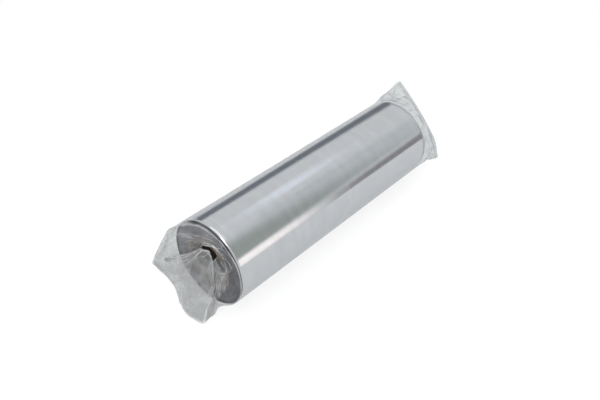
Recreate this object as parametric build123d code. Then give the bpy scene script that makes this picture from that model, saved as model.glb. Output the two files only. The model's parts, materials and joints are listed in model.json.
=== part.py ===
from build123d import *
import math
import os

# A wide roll of bright metal foil tape on a paperboard core, inside a clear film bag.
# X runs along the roll towards the bag's sealed end, Z is up, and the origin is the
# middle of the core's axis. All sizes are in millimetres.

# Roll and core
web_width = 186.0
core_bore_radius = 12.7
core_liner_thickness = 1.1
core_body_thickness = 2.2
core_wrap_thickness = 0.8
roll_radius = 28.0

# The outermost turn: release liner under, foil over, and the tail edge it ends in
lap_layer_thickness = 0.1
tail_angle = -40.0
tail_gap_arc = 1.0

# Tape that holds the web's first edge on the core
start_tape_thickness = 0.1
start_tape_arc = 40.0
start_tape_angle = 60.0
start_tape_margin = 3.0

# Tape that holds the web's tail down
tail_tape_thickness = 0.08
tail_tape_width = 25.0
tail_tape_arc = 44.0

# Clear film bag: a sleeve on the roll, a gathered mouth and a heat-sealed end
film_thickness = 0.2
creased_film_thickness = 0.3
bag_clearance = 0.32
bag_end_gap = 0.4
bag_slack_angle = 40.0

# The two ends are pressed flat, each along a line between two points in Y and Z
mouth_edge_x = -112.0
mouth_high_tip = Vector(24.0, 0.0)
mouth_low_tip = Vector(-8.5, -26.9)
mouth_edge_thickness = 3.0
seal_start_x = 122.0
seal_end_x = 125.0
seal_high_tip = Vector(17.5, 28.3)
seal_low_tip = Vector(-23.9, -18.0)
seal_thickness = 2.0
seal_setback = 1.0

# Radii and stations that follow from the sizes above
half_width = web_width / 2
core_body_radius = core_bore_radius + core_liner_thickness
core_wrap_radius = core_body_radius + core_body_thickness
core_radius = core_wrap_radius + core_wrap_thickness
foil_lap_radius = roll_radius - lap_layer_thickness
pack_radius = foil_lap_radius - lap_layer_thickness
bag_inner_radius = roll_radius + tail_tape_thickness + bag_clearance
bag_outer_radius = bag_inner_radius + film_thickness
bag_end_x = half_width + bag_end_gap


def tube(inner_radius, outer_radius, start, end):
    """A round tube about X between two stations."""
    section = Plane.YZ.offset(start) * (Circle(outer_radius) - Circle(inner_radius))
    return extrude(section, end - start)


def curved_sheet(inner_radius, thickness, width, start_angle, arc):
    """A layer bent round X, from an angle measured from +Y towards +Z."""
    middle_radius = inner_radius + thickness / 2
    profile = Pos(0, middle_radius, 0) * Rectangle(width, thickness)
    return Rot(start_angle, 0, 0) * revolve(profile, Axis.X, revolution_arc=arc)


def flat_slot(station, tip_a, tip_b, thickness):
    """The outline of film pressed flat between two points, at one station along X."""
    middle = (tip_a + tip_b) / 2
    along = tip_a - tip_b
    turn = math.degrees(math.atan2(along.Y, along.X))
    outline = Pos(middle.X, middle.Y) * Rot(0, 0, turn) * SlotOverall(along.length, thickness)
    return Plane.YZ.offset(station) * outline


def bag_section(radius):
    """The film round the roll: round above, with its slack lying flat on the table below.

    The slack leaves the round at the slack angle to each side of straight down.
    """
    half_foot = radius * math.tan(math.radians(bag_slack_angle / 2))
    wrap = CenterArc((0, 0), radius, bag_slack_angle - 90, 360 - 2 * bag_slack_angle)
    foot = Polyline(wrap @ 1, (-half_foot, -radius), (half_foot, -radius), wrap @ 0)
    return make_face([wrap, foot])


def film_end(station, tip_a, tip_b, thickness, inner_station):
    """A thin wall that goes from round at the roll's end to flat at the given station.

    It is open at the flat end when its inner face reaches as far as its outer one.
    """
    side = math.copysign(bag_end_x, station)
    inset = (tip_a - tip_b).normalized() * creased_film_thickness
    inner_thickness = thickness - 2 * creased_film_thickness
    outer = loft([
        Plane.YZ.offset(side) * Circle(bag_outer_radius),
        flat_slot(station, tip_a, tip_b, thickness),
    ])
    inner = loft([
        Plane.YZ.offset(side) * Circle(bag_outer_radius - creased_film_thickness),
        flat_slot(inner_station, tip_a - inset, tip_b + inset, inner_thickness),
    ])
    return outer - inner


def core_liner_ply():
    """The smooth inner ply that a spindle slides in."""
    return tube(core_bore_radius, core_body_radius, -half_width, half_width)


def core_body_plies():
    """The grey board plies that give the core its strength."""
    return tube(core_body_radius, core_wrap_radius, -half_width, half_width)


def core_outer_ply():
    """The kraft ply that the web is started on."""
    return tube(core_wrap_radius, core_radius, -half_width, half_width)


def core_start_tape():
    """A strip along the core, which the first edge of the web is stuck to."""
    strip_width = web_width - 2 * start_tape_margin
    return curved_sheet(
        core_radius, start_tape_thickness, strip_width, start_tape_angle, start_tape_arc
    )


def foil_pack():
    """All the turns under the last one, wound tight over the strip on the core."""
    return tube(core_radius, pack_radius, -half_width, half_width) - core_start_tape()


def outer_turn(inner_radius):
    """One layer of the last turn, which stops short of a full circle at the tail edge."""
    return curved_sheet(
        inner_radius,
        lap_layer_thickness,
        web_width,
        tail_angle + tail_gap_arc,
        360.0 - tail_gap_arc,
    )


def tail_tape():
    """A clear tab across the tail edge, in the middle of the roll's length."""
    return curved_sheet(
        roll_radius,
        tail_tape_thickness,
        tail_tape_width,
        tail_angle - tail_tape_arc / 2,
        tail_tape_arc,
    )


def bag_sleeve():
    """The film along the roll's whole length, loose enough to slide off."""
    section = bag_section(bag_outer_radius) - bag_section(bag_inner_radius)
    return extrude(Plane.YZ.offset(-bag_end_x) * section, 2 * bag_end_x)


def bag_mouth():
    """The loose film past the open end, gathered flat, with its low corner on the table."""
    return film_end(
        mouth_edge_x, mouth_high_tip, mouth_low_tip, mouth_edge_thickness, mouth_edge_x
    )


def bag_end_film():
    """The film that closes over the roll's far face on its way to the seal."""
    return film_end(
        seal_start_x, seal_high_tip, seal_low_tip, seal_thickness, seal_start_x - seal_setback
    )


def bag_end_seal():
    """The band where both films and their pleats are welded flat."""
    outline = flat_slot(seal_start_x, seal_high_tip, seal_low_tip, seal_thickness)
    return extrude(outline, seal_end_x - seal_start_x)


nodes = {
    "core_liner_ply": core_liner_ply(),
    "core_body_plies": core_body_plies(),
    "core_outer_ply": core_outer_ply(),
    "core_start_tape": core_start_tape(),
    "foil_pack": foil_pack(),
    "liner_outer_turn": outer_turn(pack_radius),
    "foil_outer_turn": outer_turn(foil_lap_radius),
    "tail_tape": tail_tape(),
    "bag_sleeve": bag_sleeve(),
    "bag_mouth": bag_mouth(),
    "bag_end_film": bag_end_film(),
    "bag_end_seal": bag_end_seal(),
}

os.makedirs("parts", exist_ok=True)
for name, solid in nodes.items():
    export_step(solid, f"parts/{name}.step")
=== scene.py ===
import json
import math

import bpy
import numpy as np
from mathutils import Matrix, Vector


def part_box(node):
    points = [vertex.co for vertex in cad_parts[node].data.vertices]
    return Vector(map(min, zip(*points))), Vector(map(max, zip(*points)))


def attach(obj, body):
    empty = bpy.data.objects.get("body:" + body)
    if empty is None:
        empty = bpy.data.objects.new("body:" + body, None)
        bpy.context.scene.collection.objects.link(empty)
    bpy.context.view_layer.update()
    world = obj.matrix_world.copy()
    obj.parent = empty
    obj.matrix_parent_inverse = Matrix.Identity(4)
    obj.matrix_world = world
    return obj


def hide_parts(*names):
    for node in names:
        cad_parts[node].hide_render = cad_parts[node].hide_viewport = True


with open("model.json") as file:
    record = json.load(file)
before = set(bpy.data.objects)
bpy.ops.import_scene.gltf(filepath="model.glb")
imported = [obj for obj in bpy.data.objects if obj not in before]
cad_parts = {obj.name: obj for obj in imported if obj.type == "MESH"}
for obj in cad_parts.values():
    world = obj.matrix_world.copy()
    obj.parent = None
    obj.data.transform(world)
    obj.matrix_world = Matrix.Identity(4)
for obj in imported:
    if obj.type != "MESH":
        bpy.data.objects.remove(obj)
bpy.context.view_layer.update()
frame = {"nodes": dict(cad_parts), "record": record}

mm = 0.001

# Sizes of the roll and its core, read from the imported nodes
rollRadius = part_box("foil_outer_turn")[1].z
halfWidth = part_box("foil_outer_turn")[1].x
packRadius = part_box("foil_pack")[1].z
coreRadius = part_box("core_outer_ply")[1].z
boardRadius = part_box("core_body_plies")[1].z
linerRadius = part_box("core_liner_ply")[1].z
boreRadius = frame["record"]["mounts"][0]["dims"]["r_mm"] * mm
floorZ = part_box("bag_sleeve")[0].z


def hexColour(code):
    # sRGB hex to linear RGBA
    parts = [int(code[i:i + 2], 16) / 255 for i in (1, 3, 5)]
    linear = [c / 12.92 if c <= 0.04045 else ((c + 0.055) / 1.055) ** 2.4 for c in parts]
    return (*linear, 1.0)


def addNode(tree, kind, inputs=None, **settings):
    # one node: settings are its properties, and inputs are values or sockets to link from
    node = tree.nodes.new(kind)
    for key, value in settings.items():
        setattr(node, key, value)
    for key, value in (inputs or {}).items():
        if isinstance(value, bpy.types.NodeSocket):
            tree.links.new(value, node.inputs[key])
        else:
            node.inputs[key].default_value = value
    return node


def newMaterial(name):
    material = bpy.data.materials.new(name)
    material.use_nodes = True
    material.node_tree.nodes.clear()
    return material, material.node_tree


def showSurface(tree, shader):
    addNode(tree, "ShaderNodeOutputMaterial", {"Surface": shader})


def setRamp(node, stops):
    # stops are (position, hex colour) from left to right
    ramp = node.color_ramp
    while len(ramp.elements) < len(stops):
        ramp.elements.new(0.5)
    for element, (position, code) in zip(ramp.elements, stops):
        element.position = position
        element.color = hexColour(code)


def addSurface(name, points, closeRows=False, closeColumns=False, flip=False, sharpAngle=40):
    # points is a rows x columns grid of places in metres. Each cell becomes one quad, and a
    # closed direction joins its last line back to its first. flip turns the faces the other way
    rows, columns = points.shape[:2]
    r = np.arange(rows if closeRows else rows - 1)[:, None]
    c = np.arange(columns if closeColumns else columns - 1)[None, :]
    rNext, cNext = (r + 1) % rows, (c + 1) % columns
    corners = [r * columns + c, r * columns + cNext, rNext * columns + cNext, rNext * columns + c]
    quads = np.stack(np.broadcast_arrays(*corners), axis=-1).reshape(-1, 4)
    if flip:
        quads = quads[:, ::-1]
    mesh = bpy.data.meshes.new(name)
    mesh.vertices.add(rows * columns)
    mesh.vertices.foreach_set("co", points.astype(np.float32).ravel())
    mesh.loops.add(quads.size)
    mesh.loops.foreach_set("vertex_index", quads.astype(np.int32).ravel())
    mesh.polygons.add(len(quads))
    mesh.polygons.foreach_set("loop_start", np.arange(0, quads.size, 4, dtype=np.int32))
    mesh.update(calc_edges=True)
    mesh.validate()
    mesh.shade_smooth()
    mesh.set_sharp_from_angle(angle=math.radians(sharpAngle))
    piece = bpy.data.objects.new(name, mesh)
    bpy.context.scene.collection.objects.link(piece)
    return piece


def roundPoints(x, radius, angle):
    # cylinder coordinates to places: x along the roll, angle from +Y towards +Z
    x, radius, angle = np.broadcast_arrays(x, radius, angle)
    return np.stack([x, radius * np.cos(angle), radius * np.sin(angle)], axis=-1)


def addWall(piece, thickness, offset):
    # gives a sheet its thickness: offset -1 adds it inwards, 1 outwards, 0 both ways
    wall = piece.modifiers.new("thickness", "SOLIDIFY")
    wall.thickness = thickness
    wall.offset = offset


def finishPiece(piece, material, body, slot, *nodes):
    piece.data.materials.append(material)
    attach(piece, body)
    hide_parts(*nodes)


def paintNode(node, material):
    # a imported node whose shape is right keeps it, and only gets a new material
    piece = frame["nodes"][node]
    piece.data.materials.clear()
    piece.data.materials.append(material)


# Camera: three-quarter view of the open end, from 36 degrees above
view = {"place": (-0.2867, -0.2390, 0.2673), "forward": (0.6085, 0.5290, -0.5912), "lens": 41.5}
camera = bpy.data.objects.new("camera", bpy.data.cameras.new("camera"))
camera.location = view["place"]
camera.rotation_euler = Vector(view["forward"]).to_track_quat("-Z", "Y").to_euler()
camera.data.lens = view["lens"]
camera.data.clip_start = 0.01
bpy.context.scene.collection.objects.link(camera)
bpy.context.scene.camera = camera
bpy.context.scene.view_settings.view_transform = "Standard"
bpy.context.scene.cycles.transparent_max_bounces = 48

# Floor and light
studio = {
    "floorHalf": 0.42,
    "floorTones": ("#7B7B7C", "#7E7E7F"),
    "keyPower": 4.0,
    "keySize": 1.2,
    "keyHeight": 1.3,
    "tableGlow": 0.8,
    "cameraSky": "#FFFFFF",
    "sky": "#FFFFFF",
    "skyStrength": 1.06,
}
# What the foil mirrors round the room: azimuth and elevation of the middle, half width, half
# height and soft edge, all in degrees, then colour and brightness
roomPatches = {
    "sideFlat": (-44, 31, 22, 21, 9, "#F6FAFA", 0.95),
    "greyFlat": (-66, 37, 23, 25, 9, "#F0F8F0", 0.62),
    "backWall": (48, 14, 26, 10, 5, "#ECF2FF", 0.34),
    "tableGap": (-33, 0, 17, 7, 4, "#FFF8FA", 0.44),
    "lowWindow": (-64, 4, 11, 7, 4, "#FFF6F2", 1.95),
    "rearSoftbox": (-160, 44, 16, 10, 5, "#FFFFFF", 5.0),
    "softStreak": (8, 52, 13, 3, 5, "#F4F8FF", 1.5),
}


def makeFloor():
    half = studio["floorHalf"]
    corners = np.array([[-half, -half], [half, -half], [-half, half], [half, half]])
    points = np.concatenate([corners, np.full((4, 1), floorZ)], axis=1).reshape(2, 2, 3)
    floor = addSurface("studioFloor", points)
    # opal acrylic light table: matt and faintly mottled, lit from below so that shadows stay faint
    material, tree = newMaterial("opalTable")
    fibre = addNode(tree, "ShaderNodeTexNoise", {"Scale": 900.0, "Detail": 2.0})
    tone = addNode(tree, "ShaderNodeValToRGB", {"Fac": fibre.outputs["Fac"]})
    setRamp(tone, list(zip((0.3, 0.7), studio["floorTones"])))
    shader = addNode(
        tree,
        "ShaderNodeBsdfPrincipled",
        {
            "Base Color": tone.outputs["Color"],
            "Roughness": 0.9,
            "Emission Color": hexColour("#FFFFFF"),
            "Emission Strength": studio["tableGlow"],
        },
    )
    showSurface(tree, shader.outputs["BSDF"])
    floor.data.materials.append(material)


def makeKeyLight():
    lamp = bpy.data.lights.new("overheadSoftbox", "AREA")
    lamp.size = studio["keySize"]
    lamp.energy = studio["keyPower"]
    key = bpy.data.objects.new("overheadSoftbox", lamp)
    key.location = (0.0, 0.0, studio["keyHeight"])
    bpy.context.scene.collection.objects.link(key)


def scaledColour(code, power):
    return [c * power for c in hexColour(code)[:3]] + [1.0]


def makeRoom():
    # the room as the foil sees it: pale, with soft-edged patches. The camera sees it plain
    world = bpy.data.worlds.new("studioRoom")
    world.use_nodes = True
    tree = world.node_tree
    tree.nodes.clear()
    way = addNode(tree, "ShaderNodeTexCoord")
    axes = addNode(tree, "ShaderNodeSeparateXYZ", {"Vector": way.outputs["Generated"]})
    turn = addNode(
        tree,
        "ShaderNodeMath",
        {0: axes.outputs["Y"], 1: axes.outputs["X"]},
        operation="ARCTAN2",
    )
    azimuth = addNode(tree, "ShaderNodeMath", {0: turn.outputs[0]}, operation="DEGREES")
    rise = addNode(tree, "ShaderNodeMath", {0: axes.outputs["Z"]}, operation="ARCSINE")
    elevation = addNode(tree, "ShaderNodeMath", {0: rise.outputs[0]}, operation="DEGREES")
    glow = addNode(tree, "ShaderNodeRGB")
    glow.outputs[0].default_value = scaledColour(studio["sky"], studio["skyStrength"])
    mixed = glow.outputs[0]
    for az, el, halfW, halfH, soft, code, power in roomPatches.values():
        masks = []
        for angle, middle, half in ((azimuth, az, halfW), (elevation, el, halfH)):
            offset = addNode(
                tree,
                "ShaderNodeMath",
                {0: angle.outputs[0], 1: middle},
                operation="SUBTRACT",
            )
            away = addNode(
                tree,
                "ShaderNodeMath",
                {0: offset.outputs[0], 1: 180.0, 2: -180.0},
                operation="WRAP",
            )
            size = addNode(tree, "ShaderNodeMath", {0: away.outputs[0]}, operation="ABSOLUTE")
            mask = addNode(
                tree,
                "ShaderNodeMapRange",
                {"Value": size.outputs[0], "From Min": half + soft, "From Max": half - soft},
                interpolation_type="SMOOTHSTEP",
            )
            masks.append(mask.outputs["Result"])
        both = addNode(tree, "ShaderNodeMath", {0: masks[0], 1: masks[1]}, operation="MULTIPLY")
        blend = addNode(
            tree,
            "ShaderNodeMix",
            {"Factor": both.outputs[0], "A": mixed, "B": scaledColour(code, power)},
            data_type="RGBA",
        )
        mixed = blend.outputs["Result"]
    room = addNode(tree, "ShaderNodeBackground", {"Color": mixed})
    plain = addNode(tree, "ShaderNodeBackground", {"Color": hexColour(studio["cameraSky"])})
    ray = addNode(tree, "ShaderNodeLightPath")
    seen = addNode(
        tree,
        "ShaderNodeMixShader",
        {0: ray.outputs["Is Camera Ray"], 1: room.outputs[0], 2: plain.outputs[0]},
    )
    addNode(tree, "ShaderNodeOutputWorld", {"Surface": seen.outputs[0]})
    bpy.context.scene.world = world


makeFloor()
makeKeyLight()
makeRoom()
print("studio ready")

# Outer turn of bright foil
foil = {
    "steps": (256, 120),
    "thickness": 0.1 * mm,
    "waveHeight": 0.006 * mm,
    "waveLengths": (19 * mm, 11 * mm),
    "tailAngle": -40.0,
    "tailGap": 1.0,
    "tones": ("#DDDDE1", "#E4E4E7"),
    "roughness": (0.05, 0.1),
}


def makeBrightFoil():
    # tinned foil, rolled bright: mirrors the room, with faint bands round the roll where the
    # web was nipped and wound. The bands are about 4 mm wide
    material, tree = newMaterial("rolledBrightFoil")
    place = addNode(tree, "ShaderNodeTexCoord")
    bands = addNode(
        tree,
        "ShaderNodeMapping",
        {"Vector": place.outputs["Object"], "Scale": (260.0, 6.0, 6.0)},
    )
    streak = addNode(
        tree,
        "ShaderNodeTexNoise",
        {"Vector": bands.outputs[0], "Scale": 1.0, "Detail": 3.0},
    )
    smoothest, roughest = foil["roughness"]
    gloss = addNode(
        tree,
        "ShaderNodeMapRange",
        {
            "Value": streak.outputs["Fac"],
            "From Min": 0.3,
            "From Max": 0.7,
            "To Min": smoothest,
            "To Max": roughest,
        },
    )
    tone = addNode(tree, "ShaderNodeValToRGB", {"Fac": streak.outputs["Fac"]})
    setRamp(tone, list(zip((0.3, 0.7), foil["tones"])))
    bump = addNode(
        tree,
        "ShaderNodeBump",
        {"Height": streak.outputs["Fac"], "Strength": 0.03, "Distance": 0.1 * mm},
    )
    shader = addNode(
        tree,
        "ShaderNodeBsdfPrincipled",
        {
            "Base Color": tone.outputs["Color"],
            "Metallic": 1.0,
            "Roughness": gloss.outputs["Result"],
            "Normal": bump.outputs["Normal"],
        },
    )
    showSurface(tree, shader.outputs["BSDF"])
    return material


def makeOuterTurn():
    # radius = roll radius less a few long low waves along and round the roll. The 1.7 is the
    # waves' greatest sum, so that no crest stands proud of the roll
    around, lengthwise = foil["steps"]
    along = np.linspace(-halfWidth, halfWidth, lengthwise)[:, None]
    start = math.radians(foil["tailAngle"] + foil["tailGap"])
    sweep = math.radians(360 - foil["tailGap"])
    angle = np.linspace(start, start + sweep, around)[None, :]
    longer, shorter = foil["waveLengths"]
    wave = np.sin(along / longer + 1.3) + 0.7 * np.sin(along / shorter + 3 * angle)
    radius = rollRadius + foil["waveHeight"] * (wave - 1.7)
    piece = addSurface("outerTurn", roundPoints(along, radius, angle), flip=True)
    addWall(piece, foil["thickness"], -1)
    finishPiece(piece, makeBrightFoil(), "roll", "bright_foil", "foil_outer_turn")


makeOuterTurn()
print("outer turn wound")

# Wound pack: one ring of tight turns whose cut edges show at both ends
pack = {
    "around": 192,
    "wallRows": 10,
    "turnPitch": 0.42 * mm,
    "samplesPerTurn": 4,
    "ridgeHeight": 0.07 * mm,
    "creep": 0.125 * mm,
    "creepPitches": (1.7 * mm, 3.1 * mm),
    "fade": 0.5 * mm,
    "tones": ("#36353D", "#56545E", "#7A7883"),
    # painted shade: the near black that the end faces fade to at the rim, and where that fade starts
    # and is full, stand in for the film's shadow over the rim
    "rimShadowTone": "#0D0D10",
    "rim": (2.2 * mm, 0.8 * mm),
    "grain": 0.9 * mm,
}


def makeWoundEdge():
    # slit edges of foil, glue and liner, wound tight into one grey face with fine rings. Towards the
    # rim it has painted shade: the outermost couple of millimetres go near black, standing in for the
    # shadow of the film wrapped over the rim. The rings are drawn coarser than the turns, so that they
    # show
    material, tree = newMaterial("woundFoilEdge")
    place = addNode(tree, "ShaderNodeTexCoord")
    axes = addNode(tree, "ShaderNodeSeparateXYZ", {"Vector": place.outputs["Object"]})
    flat = addNode(tree, "ShaderNodeCombineXYZ", {"Y": axes.outputs["Y"], "Z": axes.outputs["Z"]})
    reach = addNode(tree, "ShaderNodeVectorMath", {0: flat.outputs[0]}, operation="LENGTH")
    turns = addNode(
        tree,
        "ShaderNodeMath",
        {0: reach.outputs["Value"], 1: 1 / pack["grain"]},
        operation="MULTIPLY",
    )
    rings = addNode(
        tree,
        "ShaderNodeTexNoise",
        {"W": turns.outputs[0], "Scale": 1.0, "Detail": 4.0},
        noise_dimensions="1D",
    )
    blotch = addNode(
        tree,
        "ShaderNodeTexNoise",
        {"Vector": place.outputs["Object"], "Scale": 160.0, "Detail": 3.0},
    )
    shade = addNode(
        tree,
        "ShaderNodeMath",
        {0: rings.outputs["Fac"], 1: blotch.outputs["Fac"]},
        operation="ADD",
    )
    half = addNode(tree, "ShaderNodeMath", {0: shade.outputs[0], 1: 0.5}, operation="MULTIPLY")
    tone = addNode(tree, "ShaderNodeValToRGB", {"Fac": half.outputs[0]})
    setRamp(tone, list(zip((0.3, 0.5, 0.7), pack["tones"])))
    # painted shade: over the outermost 2.2 mm the tone is mixed towards near black, the film's shadow
    # over the rim painted onto the end face
    rimStart, rimFull = pack["rim"]
    outer = addNode(
        tree,
        "ShaderNodeMapRange",
        {
            "Value": reach.outputs["Value"],
            "From Min": packRadius - rimStart,
            "From Max": packRadius - rimFull,
        },
        interpolation_type="SMOOTHSTEP",
    )
    shaded = addNode(
        tree,
        "ShaderNodeMix",
        {
            "Factor": outer.outputs["Result"],
            "A": tone.outputs["Color"],
            "B": hexColour(pack["rimShadowTone"]),
        },
        data_type="RGBA",
    )
    bump = addNode(
        tree,
        "ShaderNodeBump",
        {"Height": rings.outputs["Fac"], "Strength": 0.3, "Distance": 0.2 * mm},
    )
    shader = addNode(
        tree,
        "ShaderNodeBsdfPrincipled",
        {
            "Base Color": shaded.outputs["Result"],
            "Metallic": 0.75,
            "Roughness": 0.42,
            "Normal": bump.outputs["Normal"],
        },
    )
    showSurface(tree, shader.outputs["BSDF"])
    return material


def makePack():
    # a ring: out along the wall, in across one end, back through the core's seat and out across
    # the other end. On the ends, x rises and falls once a turn along a spiral, on top of a slow
    # creep inwards that is the product of two sines of the radius
    count = int((packRadius - coreRadius) / pack["turnPitch"] * pack["samplesPerTurn"])
    face = np.linspace(packRadius, coreRadius, count)
    rows = pack["wallRows"]
    wall = np.linspace(-halfWidth, halfWidth, rows + 2)[1:-1]
    x = np.concatenate([wall, np.full(count, halfWidth), wall[::-1], np.full(count, -halfWidth)])
    radius = np.concatenate([np.full(rows, packRadius), face, np.full(rows, coreRadius), face[::-1]])
    side = np.concatenate([np.zeros(rows), np.ones(count), np.zeros(rows), -np.ones(count)])
    angle = np.linspace(0, 2 * np.pi, pack["around"], endpoint=False)[None, :]
    x, radius, side = x[:, None], radius[:, None], side[:, None]
    turns = radius / pack["turnPitch"] - angle / (2 * np.pi)
    ridge = np.abs(2 * (turns - np.floor(turns)) - 1) - 1
    edge = np.minimum(packRadius - radius, radius - coreRadius) / pack["fade"]
    finer, broader = pack["creepPitches"]
    creep = np.sin(radius / finer) * np.sin(radius / broader + 1) - 1
    inward = np.clip(edge, 0, 1) * (pack["ridgeHeight"] * ridge + pack["creep"] * creep)
    points = roundPoints(x + side * inward, radius, angle)
    piece = addSurface("woundPack", points, closeRows=True, closeColumns=True, flip=True, sharpAngle=60)
    finishPiece(piece, makeWoundEdge(), "roll", "wound_foil", "foil_pack")


makePack()
print("pack wound")

# Paperboard core: liner, board and outer ply, each a ring with slightly rounded cut ends
core = {
    "around": 160,
    "lengthwise": 138,
    "edgeRound": 0.12 * mm,
    "seamPitch": 62 * mm,
    "seamDepth": 0.12 * mm,
    "seamWidth": 1.4 * mm,
    "kraft": (("#6F5A45", "#8A7159", "#A38A70"), 0.35 * mm, 0.85),
    "board": (("#5F5247", "#7A6B5D", "#918274"), 0.5 * mm, 0.95),
    "liner": (("#3F352C", "#54473B", "#67584A"), 0.3 * mm, 0.8),
}


def makePaper(name, tones, fibreSize, roughness):
    # paper or board, pressed and uncoated: matt, with fibres a few tenths of a millimetre long
    # and broad darker flecks
    material, tree = newMaterial(name)
    place = addNode(tree, "ShaderNodeTexCoord").outputs["Object"]
    fibre = addNode(
        tree,
        "ShaderNodeTexNoise",
        {"Vector": place, "Scale": 1 / fibreSize, "Detail": 5.0},
    )
    blotch = addNode(tree, "ShaderNodeTexNoise", {"Vector": place, "Scale": 120.0, "Detail": 2.0})
    mixed = addNode(
        tree,
        "ShaderNodeMath",
        {0: fibre.outputs["Fac"], 1: blotch.outputs["Fac"]},
        operation="ADD",
    )
    half = addNode(tree, "ShaderNodeMath", {0: mixed.outputs[0], 1: 0.5}, operation="MULTIPLY")
    tone = addNode(tree, "ShaderNodeValToRGB", {"Fac": half.outputs[0]})
    setRamp(tone, list(zip((0.32, 0.5, 0.68), tones)))
    bump = addNode(
        tree,
        "ShaderNodeBump",
        {"Height": fibre.outputs["Fac"], "Strength": 0.4, "Distance": 0.2 * mm},
    )
    shader = addNode(
        tree,
        "ShaderNodeBsdfPrincipled",
        {
            "Base Color": tone.outputs["Color"],
            "Roughness": roughness,
            "Normal": bump.outputs["Normal"],
        },
    )
    showSurface(tree, shader.outputs["BSDF"])
    return material


def makePly(name, inner, outer, seamed=False):
    # a ring swept round the roll's axis: a rectangle with rounded corners. The innermost ply has
    # the shallow spiral groove where its strip's edges meet
    bend = core["edgeRound"]
    quarter = np.linspace(0, np.pi / 2, 4)
    cornerX = halfWidth - bend + bend * np.sin(quarter)
    cornerR = bend * np.cos(quarter) - bend
    count = core["lengthwise"]
    along = np.linspace(-halfWidth + bend, halfWidth - bend, count + 2)[1:-1]
    x = np.concatenate([along, cornerX, cornerX[::-1], along[::-1], -cornerX, -cornerX[::-1]])
    radius = np.concatenate([
        np.full(count, outer), outer + cornerR, inner - cornerR[::-1],
        np.full(count, inner), inner - cornerR, outer + cornerR[::-1],
    ])
    angle = np.linspace(0, 2 * np.pi, core["around"], endpoint=False)[None, :]
    x, radius = x[:, None], radius[:, None]
    if seamed:
        phase = x / core["seamPitch"] + angle / (2 * np.pi)
        away = np.abs(phase - np.round(phase)) * core["seamPitch"]
        groove = np.exp(-((away / core["seamWidth"]) ** 2))
        inside = (radius < (inner + outer) / 2) & (np.abs(x) < halfWidth - bend)
        radius = radius + np.where(inside, core["seamDepth"] * groove, 0)
    return addSurface(name, roundPoints(x, radius, angle), closeRows=True, closeColumns=True, flip=True)


def makeCore():
    # brown kraft outside, greyer recycled board inside it, and a dark smooth liner in the bore
    kraft = makePaper("kraftPly", *core["kraft"])
    board = makePaper("greyBoard", *core["board"])
    smooth = makePaper("smoothLinerPaper", *core["liner"])
    outer = makePly("coreKraftPly", boardRadius, coreRadius)
    finishPiece(outer, kraft, "roll", "core_kraft", "core_outer_ply")
    middle = makePly("coreBoardPlies", linerRadius, boardRadius)
    finishPiece(middle, board, "roll", "core_board", "core_body_plies")
    inner = makePly("coreLinerPly", boreRadius, linerRadius, seamed=True)
    finishPiece(inner, smooth, "roll", "core_liner_paper", "core_liner_ply")


makeCore()
print("core glued")

# Release liner and start tape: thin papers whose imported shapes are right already
papers = {
    "release": (("#8F8C86", "#A19E98", "#B3B0AA"), 0.25 * mm, 0.5),
    "crepe": (("#A3906F", "#B4A283", "#C4B497"), 0.4 * mm, 0.75),
}


def paintPapers():
    # siliconed release paper is smooth and greyish white; crepe tape is buff and rougher
    paintNode("liner_outer_turn", makePaper("releaseLinerPaper", *papers["release"]))
    paintNode("core_start_tape", makePaper("startTapePaper", *papers["crepe"]))


paintPapers()
print("papers finished")

# Clear film: the finish shared by the tail tab, the bag and its seal
film = {
    "bagTint": "#F3F4F4",
    "sealTint": "#E2E4E5",
    "tapeTint": "#EEF0EA",
    "milk": "#C2C3C4",
    # whiter milk for creases and the cut edge: partly real crease whitening, partly painted highlight
    # standing in for glints along them
    "creaseMilkAndGlint": "#F4F5F6",
    "shine": "#DCDEE0",
    "looseHaze": 0.04,
    "cloudScale": 120.0,
    "facingMirror": 0.026,
    "slantMirror": 0.9,
}


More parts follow.
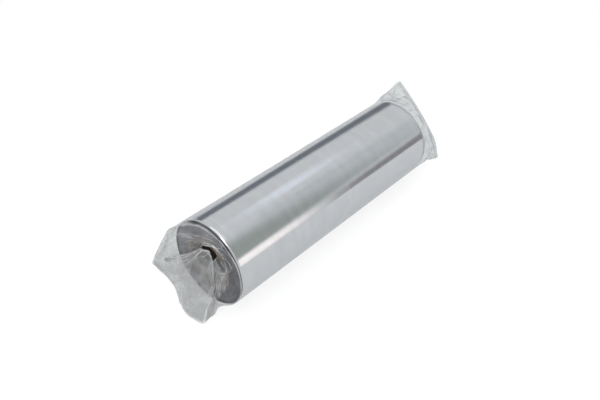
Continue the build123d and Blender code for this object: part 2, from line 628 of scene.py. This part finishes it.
def makeFilm(name, tint, haze, creaseHazeAndGlint, gloss):
    # polyethylene, blown and unprinted: sees straight through, mirrors more at a slant, and goes
    # milky where it is rumpled or creased. The whiter milk along creases and the cut edge is partly
    # real crease whitening and partly painted highlight, standing in for the glints along them.
    # Milkiness = (haze + looseHaze x looseness + creaseHazeAndGlint x crease) x cloud x 2, where cloud
    # is a soft noise about 8 mm across
    material, tree = newMaterial(name)
    place = addNode(tree, "ShaderNodeTexCoord")
    noise = addNode(
        tree,
        "ShaderNodeTexNoise",
        {"Vector": place.outputs["Object"], "Scale": film["cloudScale"], "Detail": 2.5},
    )
    cloud = addNode(
        tree,
        "ShaderNodeMapRange",
        {
            "Value": noise.outputs["Fac"],
            "From Min": 0.35,
            "From Max": 0.65,
            "To Min": 0.25,
            "To Max": 0.75,
        },
    )
    crease = addNode(tree, "ShaderNodeAttribute", attribute_name="crease").outputs["Fac"]
    loose = addNode(tree, "ShaderNodeAttribute", attribute_name="loose").outputs["Fac"]
    base = addNode(
        tree,
        "ShaderNodeMath",
        {0: loose, 1: film["looseHaze"], 2: haze},
        operation="MULTIPLY_ADD",
    )
    milk = addNode(
        tree,
        "ShaderNodeMath",
        {0: crease, 1: creaseHazeAndGlint, 2: base.outputs[0]},
        operation="MULTIPLY_ADD",
    )
    amount = addNode(
        tree,
        "ShaderNodeMath",
        {0: milk.outputs[0], 1: cloud.outputs["Result"]},
        operation="MULTIPLY",
    )
    twice = addNode(
        tree,
        "ShaderNodeMath",
        {0: amount.outputs[0], 1: 2.0},
        operation="MULTIPLY",
        use_clamp=True,
    )
    clear = addNode(tree, "ShaderNodeBsdfTransparent", {"Color": hexColour(tint)})
    # painted highlight: along creases and the cut edge the milk turns whiter, standing in for their
    # glints as well as real crease whitening
    white = addNode(
        tree,
        "ShaderNodeMix",
        {"Factor": crease, "A": hexColour(film["milk"]), "B": hexColour(film["creaseMilkAndGlint"])},
        data_type="RGBA",
    ).outputs["Result"]
    front = addNode(tree, "ShaderNodeBsdfDiffuse", {"Color": white})
    through = addNode(tree, "ShaderNodeBsdfTranslucent", {"Color": white})
    scatter = addNode(
        tree,
        "ShaderNodeMixShader",
        {0: 0.5, 1: front.outputs[0], 2: through.outputs[0]},
    )
    milky = addNode(
        tree,
        "ShaderNodeMixShader",
        {0: twice.outputs[0], 1: clear.outputs[0], 2: scatter.outputs[0]},
    )
    # mirror share: a few percent seen square on, rising with the fifth power of the slant
    slant = addNode(tree, "ShaderNodeLayerWeight", {"Blend": 0.5})
    steep = addNode(
        tree,
        "ShaderNodeMath",
        {0: slant.outputs["Facing"], 1: 5.0},
        operation="POWER",
    )
    mirror = addNode(
        tree,
        "ShaderNodeMath",
        {0: steep.outputs[0], 1: film["slantMirror"], 2: film["facingMirror"]},
        operation="MULTIPLY_ADD",
    )
    shine = addNode(
        tree,
        "ShaderNodeBsdfGlossy",
        {"Color": hexColour(film["shine"]), "Roughness": gloss},
    )
    whole = addNode(
        tree,
        "ShaderNodeMixShader",
        {0: mirror.outputs[0], 1: milky.outputs[0], 2: shine.outputs[0]},
    )
    showSurface(tree, whole.outputs[0])
    return material


# Clear tab that holds the tail down: its ends are cut by a saw-toothed blade
tab = {
    "steps": (40, 84),
    "thickness": 0.06 * mm,
    "lift": 0.01 * mm,
    "width": 25 * mm,
    "arc": 43.0,
    "toothPitch": 1.2 * mm,
    "toothDepth": 0.5 * mm,
    "haze": 0.03,
    "gloss": 0.12,
}


def makeTailTab():
    # a strip laid round the roll across the tail edge. Its ends run to and fro by a triangle wave
    rows, columns = tab["steps"]
    share = np.linspace(-0.5, 0.5, rows)[:, None]
    along = np.linspace(-tab["width"] / 2, tab["width"] / 2, columns)[None, :]
    phase = along / tab["toothPitch"]
    tooth = np.abs(2 * (phase - np.floor(phase)) - 1)
    reach = np.radians(tab["arc"]) - 2 * tooth * tab["toothDepth"] / rollRadius
    angle = math.radians(foil["tailAngle"]) + share * reach
    piece = addSurface("tailTab", roundPoints(along, rollRadius + tab["lift"], angle))
    addWall(piece, tab["thickness"], 1)
    # cast tape film: clearer and smoother than the bag's
    tape = makeFilm("clearTape", film["tapeTint"], tab["haze"], 0.0, tab["gloss"])
    finishPiece(piece, tape, "roll", "clear_tape", "tail_tape")


makeTailTab()
print("tail taped down")

# Heat seal: a narrow welded band across the bag's far end, which the film runs to
seal = {
    "steps": (140, 10),
    "thickness": 0.22 * mm,
    "overlap": 0.3 * mm,
    "ridgeHeight": 0.08 * mm,
    "ridgePitch": 1.1 * mm,
    "bow": (-2.6 * mm, 1.0 * mm),
    "cornerDroop": (0, -3.0 * mm),
    "cornerCurl": 3.2 * mm,
    "curlShares": (0.8, 1.05),
    "tipAngles": (48, 222),
    "haze": 0.12,
    "gloss": 0.2,
}

# Clear film bag: one tube of film, with its open end crumpled over the near face and its far
# end drawn flat into the seal
bag = {
    "around": 300,
    "mouthRows": 56,
    "sleeveRows": 44,
    "farRows": 64,
    "thickness": 0.06 * mm,
    "flatSize": (0.18, 0.26),
    "standOff": 0.15 * mm,
    "faceGap": 0.5 * mm,
    "slackAngle": 40.0,
    "slackFade": 12 * mm,
    "haze": 0.01,
    # milk along creases and the cut edge: partly real whitening, partly painted highlight
    "creaseHazeAndGlint": 0.6,
    "gloss": 0.09,
    "bendRounding": 2,
    "cornerRounding": 3,
    "tensionFolds": 0.04 * mm,
    "tensionPitches": (45 * mm, 70 * mm),
    "facetHeight": 1.1 * mm,
    "bigFacets": (22, 7.5 * mm),
    "smallFacets": (47, 3.6 * mm),
    "smallShare": 0.25,
    "facetSeeds": (3, 8),
    "facetFades": (8 * mm, 10 * mm),
    "facetWarp": 0.25,
    "warpWaves": 3,
    "warpPitch": 6 * mm,
    "pleatPitch": 2.8 * mm,
    "pleatHeight": 0.32 * mm,
    "pleatMiddle": 224,
    "pleatSpread": 30,
    "pleatCalm": 0.85,
    "pleatLean": 0.2,
    "pleatFoot": (-23 * mm, -15 * mm),
    "pleatTop": (4 * mm, 10 * mm),
    "pleatStart": (11 * mm, 14 * mm),
    "bulge": (6 * mm, 14 * mm),
    "bulgeSpread": 40,
    # painted highlight: the crease value given to the open end's cut edge, so that it shows white as a
    # glint
    "cutEdgeGlint": 0.5,
    "creaseTurn": 0.16,
    "creaseGain": 1.2,
}
# Where the film is rumpled most: middle angle, the half widths where it is full and where it has
# faded, the shares of the way to the cut edge where it starts and is full, and how much
looseRegions = {
    "flap": (308, 58, 76, 0.25, 0.45, 8.0),
    "band": (222, 36, 46, 0.42, 0.56, 9.0),
    "top": (86, 30, 46, 0.02, 0.2, 3.2),
}
# Where the open end's film goes, by the angle in degrees at which it leaves the roll's rim: how
# far it runs straight out, where it folds next, and where its cut edge lies, in millimetres
mouthFolds = [
    (126, 1.5, (-97.5, -14.0, 20.5), (-97.5, -7.0, 21.0)),
    (105, 2.0, (-99.0, -6.0, 22.0), (-98.6, -2.1, 16.3)),
    (85, 3.0, (-101.0, 3.0, 22.5), (-99.8, 3.0, 10.5)),
    (65, 7.0, (-103.5, 12.0, 21.5), (-104.5, 12.0, 5.0)),
    (48, 10.6, (-106.6, 20.2, 15.0), (-110.0, 19.0, 2.0)),
    (34, 7.5, (-110.3, 22.0, 7.6), (-109.0, 17.5, 0.0)),
    (20, 7.0, (-114.7, 25.0, -0.9), (-103.0, 8.5, 8.5)),
    (6, 7.5, (-111.9, 23.1, -6.8), (-100.8, 1.7, 13.5)),
    (-10, 8.0, (-109.0, 21.2, -13.0), (-99.8, -3.6, 17.6)),
    (-26, 8.0, (-107.0, 18.5, -20.0), (-99.2, -8.1, 17.9)),
    (-42, 8.0, (-107.6, 13.9, -26.5), (-98.8, -9.7, 14.5)),
    (-58, 8.0, (-110.8, 7.4, -28.5), (-98.8, -11.4, 11.2)),
    (-73, 8.0, (-112.4, -1.5, -28.5), (-99.0, -11.1, 1.1)),
    (-88, 6.0, (-111.6, -12.2, -28.5), (-99.3, -11.0, -7.0)),
    (-102, 1.0, (-102.6, -12.6, -27.6), (-99.3, -10.0, -9.0)),
    (-116, 1.0, (-98.8, -12.2, -23.6), (-99.0, -7.0, -6.0)),
    (-131, 1.0, (-97.8, -12.9, -17.8), (-98.7, -5.5, -1.0)),
    (-146, 1.0, (-97.7, -14.9, -10.5), (-98.4, -6.0, 4.0)),
    (-161, 1.0, (-97.6, -16.4, -2.9), (-98.0, -8.5, 8.0)),
    (-176, 1.0, (-97.5, -17.7, 4.2), (-97.4, -11.5, 12.0)),
    (-190, 1.0, (-97.2, -18.4, 9.7), (-97.0, -12.9, 14.3)),
    (-204, 1.0, (-96.6, -18.0, 14.0), (-97.0, -11.7, 18.4)),
    (-219, 1.2, (-97.0, -16.6, 18.0), (-97.2, -10.2, 22.0)),
]


def smoothStep(value, low, high):
    t = np.clip((value - low) / (high - low), 0, 1)
    return t * t * (3 - 2 * t)


def degreesAway(degrees, middle):
    # the smaller angle between two directions
    return np.abs((degrees - middle + 180) % 360 - 180)


def facets(u, v, around, seed):
    # crumpled film: random heights on a square lattice, each cell split into two flat triangles
    # along one of its diagonals, picked at random. u closes after `around` cells
    rows = 64
    draw = np.random.default_rng(seed)
    heights = draw.uniform(-1, 1, (rows, around))
    slants = draw.integers(0, 2, (rows, around))
    i, j = np.floor(v).astype(int), np.floor(u).astype(int)
    fv, fu = v - i, u - j
    iNext, jNext = (i + 1) % rows, (j + 1) % around
    i, j = i % rows, j % around
    a, b, c, d = heights[i, j], heights[i, jNext], heights[iNext, j], heights[iNext, jNext]
    nearSide = a + fu * (b - a) + fv * (c - a)
    farSide = d + (1 - fu) * (c - d) + (1 - fv) * (b - d)
    falling = np.where(fu + fv < 1, nearSide, farSide)
    underSide = a + fu * (b - a) + fv * (d - b)
    overSide = a + fv * (c - a) + fu * (d - c)
    rising = np.where(fu > fv, underSide, overSide)
    return np.where(slants[i, j] == 1, rising, falling)


def loopThrough(angles, values, at):
    # a closed loop through the given values: straight runs, with corners rounded a little
    order = np.argsort(angles % 360)
    keys, rows = (angles % 360)[order], values[order]
    loop = np.stack([np.interp(at, keys, column, period=360) for column in rows.T], axis=1)
    for _ in range(bag["cornerRounding"]):
        loop = (np.roll(loop, 1, axis=0) + 2 * loop + np.roll(loop, -1, axis=0)) / 4
    return loop


def bentPath(knots, count):
    # points at even spacing along straight runs between knots, then averaged with neighbours
    runs = [np.linalg.norm(b - a, axis=1) for a, b in zip(knots, knots[1:])]
    ends = np.concatenate([[np.zeros(len(knots[0]))], np.cumsum(runs, axis=0)])
    reach = ends[-1] * np.linspace(0, 1, count)[:, None]
    path = np.zeros((count, len(knots[0]), 3))
    for number, (a, b) in enumerate(zip(knots, knots[1:])):
        t = np.clip((reach - ends[number]) / np.maximum(runs[number], 1e-9), 0, 1)[..., None]
        path = np.where((reach >= ends[number] - 1e-12)[..., None], a + t * (b - a), path)
    for _ in range(bag["bendRounding"]):
        path[1:-1] = (path[:-2] + 2 * path[1:-1] + path[2:]) / 4
    return path


bagRadius = (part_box("bag_sleeve")[1].z + rollRadius) / 2 + bag["standOff"]
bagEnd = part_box("bag_sleeve")[1].x
sealLow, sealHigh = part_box("bag_end_seal")
sealTips = np.array([[sealHigh.y, sealHigh.z], [sealLow.y, sealLow.z]])


def sealPlace(share):
    # the line between the seal's two tips, bowed a little. Its lower corner curls back and droops
    share = np.asarray(share)[..., None]
    curl = smoothStep(share, *seal["curlShares"])
    yz = sealTips[0] + (sealTips[1] - sealTips[0]) * share + curl * np.array(seal["cornerDroop"])
    yz = yz + 4 * share * (1 - share) * np.array(seal["bow"])
    return np.concatenate([sealLow.x - seal["cornerCurl"] * curl, yz], axis=-1)


def bagPoints():
    # rows run from the open end's cut edge to the seal, columns run round the roll
    angle = np.linspace(0, 2 * np.pi, bag["around"], endpoint=False)
    rim = roundPoints(0, bagRadius, angle)

    # mouth: from the rim straight out, then to the fold, then to the cut edge
    keys, outs, folds, edges = (np.array(column, float) for column in zip(*mouthFolds))
    degrees = np.degrees(angle)
    start = rim - [bagEnd, 0, 0]
    knots = [
        start,
        start - loopThrough(keys, outs[:, None] * mm, degrees) * [1, 0, 0],
        loopThrough(keys, folds * mm, degrees),
        loopThrough(keys, edges * mm, degrees),
    ]
    mouth = bentPath(knots, bag["mouthRows"] + 1)[:0:-1]

    # sleeve: round, with long low tension folds. Its slack lies below: the film leaves the round
    # slackAngle to each side of straight down, runs on straight to the table and lies flat there
    along = np.linspace(-bagEnd, bagEnd, bag["sleeveRows"])[:, None]
    broad, fine = bag["tensionPitches"]
    waves = np.sin(5 * angle + along / broad) + 0.6 * np.sin(11 * angle - along / fine + 2)
    down = degreesAway(degrees, 270)
    lean = np.minimum(np.abs(down - bag["slackAngle"]), down) * (down < bag["slackAngle"])
    foot = bagRadius / np.cos(np.radians(lean))
    fade = smoothStep(bagEnd - np.abs(along), 0, bag["slackFade"])
    reach = bagRadius + (foot - bagRadius)[None, :] * fade
    sleeve = roundPoints(along, reach + bag["tensionFolds"] * waves, angle[None, :])

    # far end: a curve from the rim to the seal line, which starts out along the roll and bulges
    # most by the seal's lower tip
    upperTip, lowerTip = seal["tipAngles"]
    share = 1 - np.abs(((degrees - upperTip) % 360) / 180 - 1)
    goal = sealPlace(share)
    begin = rim + [bagEnd, 0, 0]
    low = np.exp(-(((degrees - lowerTip) / bag["bulgeSpread"]) ** 2))[:, None]
    least, extra = bag["bulge"]
    bend = begin + (least + extra * low) * [1, 0, 0]
    t = np.linspace(0, 1, bag["farRows"] + 1)[1:, None, None]
    far = (1 - t) ** 2 * begin + 2 * t * (1 - t) * bend + t**2 * goal

    return crumple(np.concatenate([mouth, sleeve, far]), degrees)


def normalsOf(points):
    # the cross product of the surface's directions along and round the bag
    down = np.gradient(points, axis=0)
    wrapped = np.concatenate([points[:, -1:], points, points[:, :1]], axis=1)
    across = np.gradient(wrapped, axis=1)[:, 1:-1]
    normal = np.cross(across, down)
    return normal / np.maximum(np.linalg.norm(normal, axis=2, keepdims=True), 1e-9)


def crumple(flat, degrees):
    # moves the film along its own normal by facets of two sizes, which fade in past the roll's
    # ends and are weaker where the pleats are
    row = np.arange(len(flat))[:, None]
    mouthEnd = bag["mouthRows"]
    farStart = mouthEnd + bag["sleeveRows"] - 1
    step = np.linalg.norm(np.diff(flat, axis=0), axis=2).mean(axis=1)
    length = np.concatenate([[0], np.cumsum(step)])[:, None]
    u, length = np.broadcast_arrays(degrees[None, :] / 360, length)
    sway = 2 * np.pi * bag["warpWaves"] * u + length / bag["warpPitch"]
    warp = bag["facetWarp"] * np.sin(sway)
    (bigCount, bigLength), (smallCount, smallLength) = bag["bigFacets"], bag["smallFacets"]
    bigSeed, smallSeed = bag["facetSeeds"]
    big = facets(u * bigCount, length / bigLength + warp, bigCount, bigSeed)
    small = facets(u * smallCount, length / smallLength + 0.3 * warp, smallCount, smallSeed)
    past = length[mouthEnd] - length
    nearFade, farFade = bag["facetFades"]
    farLoose = smoothStep(length - length[farStart], 0, farFade)
    loose = np.maximum(smoothStep(past, 0, nearFade), farLoose)
    beside = (degrees[None, :] - bag["pleatMiddle"]) / bag["pleatSpread"]
    pleated = np.exp(-(beside**4)) * (row < mouthEnd)
    mixed = big + bag["smallShare"] * small
    height = bag["facetHeight"] * mixed * loose * (1 - bag["pleatCalm"] * pleated)
    points = flat + normalsOf(flat) * height[..., None]

    # upright pleats beside the core, side by side across the face
    across = flat[..., 1] + bag["pleatLean"] * flat[..., 2]
    rising = smoothStep(flat[..., 2], *bag["pleatFoot"])
    ending = smoothStep(flat[..., 2], *bag["pleatTop"])
    pleats = pleated * rising * (1 - ending) * smoothStep(past, *bag["pleatStart"])
    wave = np.sin(2 * np.pi * across / bag["pleatPitch"])
    points[..., 0] -= bag["pleatHeight"] * pleats * (1 + wave)

    # the film stays off the roll's face and on the floor
    overFace = (np.hypot(points[..., 1], points[..., 2]) < bagRadius) & (row < mouthEnd)
    clearOfFace = np.minimum(points[..., 0], -halfWidth - bag["faceGap"])
    points[..., 0] = np.where(overFace, clearOfFace, points[..., 0])
    points[..., 2] = np.maximum(points[..., 2], floorZ + bag["thickness"])
    return points


def creaseOf(points):
    # how sharply the film is bent at each point, from the turn of its normal between neighbours
    normal = normalsOf(points)
    turn = np.zeros(points.shape[:2])
    turn[1:-1] = np.linalg.norm(normal[2:] - normal[:-2], axis=2)
    turn = np.maximum(turn, np.linalg.norm(np.roll(normal, -1, 1) - np.roll(normal, 1, 1), axis=2))
    # painted highlight: the cut edge of the open end is given a crease value, so that it shows white as
    # a glint along it too
    turn[:2] = bag["cutEdgeGlint"]
    return np.clip((turn - bag["creaseTurn"]) * bag["creaseGain"], 0, 1)


def loosenessOf(points):
    # how rumpled the film is: nothing on the roll, more past its ends, most on the lower flap
    # that lies across the core and on the pleated band beside it
    past = smoothStep(np.abs(points[..., 0]), bagEnd - 1 * mm, bagEnd + 3 * mm)
    degrees = np.linspace(0, 360, bag["around"], endpoint=False)[None, :]
    share = 1 - np.arange(len(points))[:, None] / bag["mouthRows"]
    total = np.ones_like(past)
    for middle, inner, outer, low, high, amount in looseRegions.values():
        beside = 1 - smoothStep(degreesAway(degrees, middle), inner, outer)
        total += amount * smoothStep(share, low, high) * beside
    return past * total


def makeBag():
    points = bagPoints()
    piece = addSurface("filmBag", points, closeColumns=True, flip=True, sharpAngle=180)
    for name, values in (("crease", creaseOf(points)), ("loose", loosenessOf(points))):
        layer = piece.data.attributes.new(name, "FLOAT", "POINT")
        layer.data.foreach_set("value", values.astype(np.float32).ravel())
    addWall(piece, bag["thickness"], 0)
    finish = makeFilm(
        "clearPolyethyleneFilm",
        film["bagTint"],
        bag["haze"],
        bag["creaseHazeAndGlint"],
        bag["gloss"],
    )
    finishPiece(piece, finish, "bag", "bag_film", "bag_sleeve", "bag_mouth", "bag_end_film")


makeBag()
print("bag drawn on")


# The welded band itself, over the end of the film
def makeSeal():
    # a flat strip between the seal's tips: across it the film swells and dips in weld ridges
    columns, rows = seal["steps"]
    share = np.linspace(0, 1, columns)
    past = np.linspace(-seal["overlap"], sealHigh.x - sealLow.x, rows)[:, None, None]
    lengthwise = (sealTips[1] - sealTips[0]) / np.linalg.norm(sealTips[1] - sealTips[0])
    normal = np.array([0, -lengthwise[1], lengthwise[0]])
    ridge = seal["ridgeHeight"] * np.sin(2 * np.pi * past / seal["ridgePitch"])
    points = sealPlace(share)[None, :] + past * [1, 0, 0] + ridge * normal
    piece = addSurface("filmSeal", points)
    addWall(piece, seal["thickness"], 0)
    # two films melted into one: cloudier and less glossy than the rest
    weld = makeFilm("weldedFilm", film["sealTint"], seal["haze"], 0.0, seal["gloss"])
    finishPiece(piece, weld, "bag", "bag_seal", "bag_end_seal")


makeSeal()
print("end sealed")
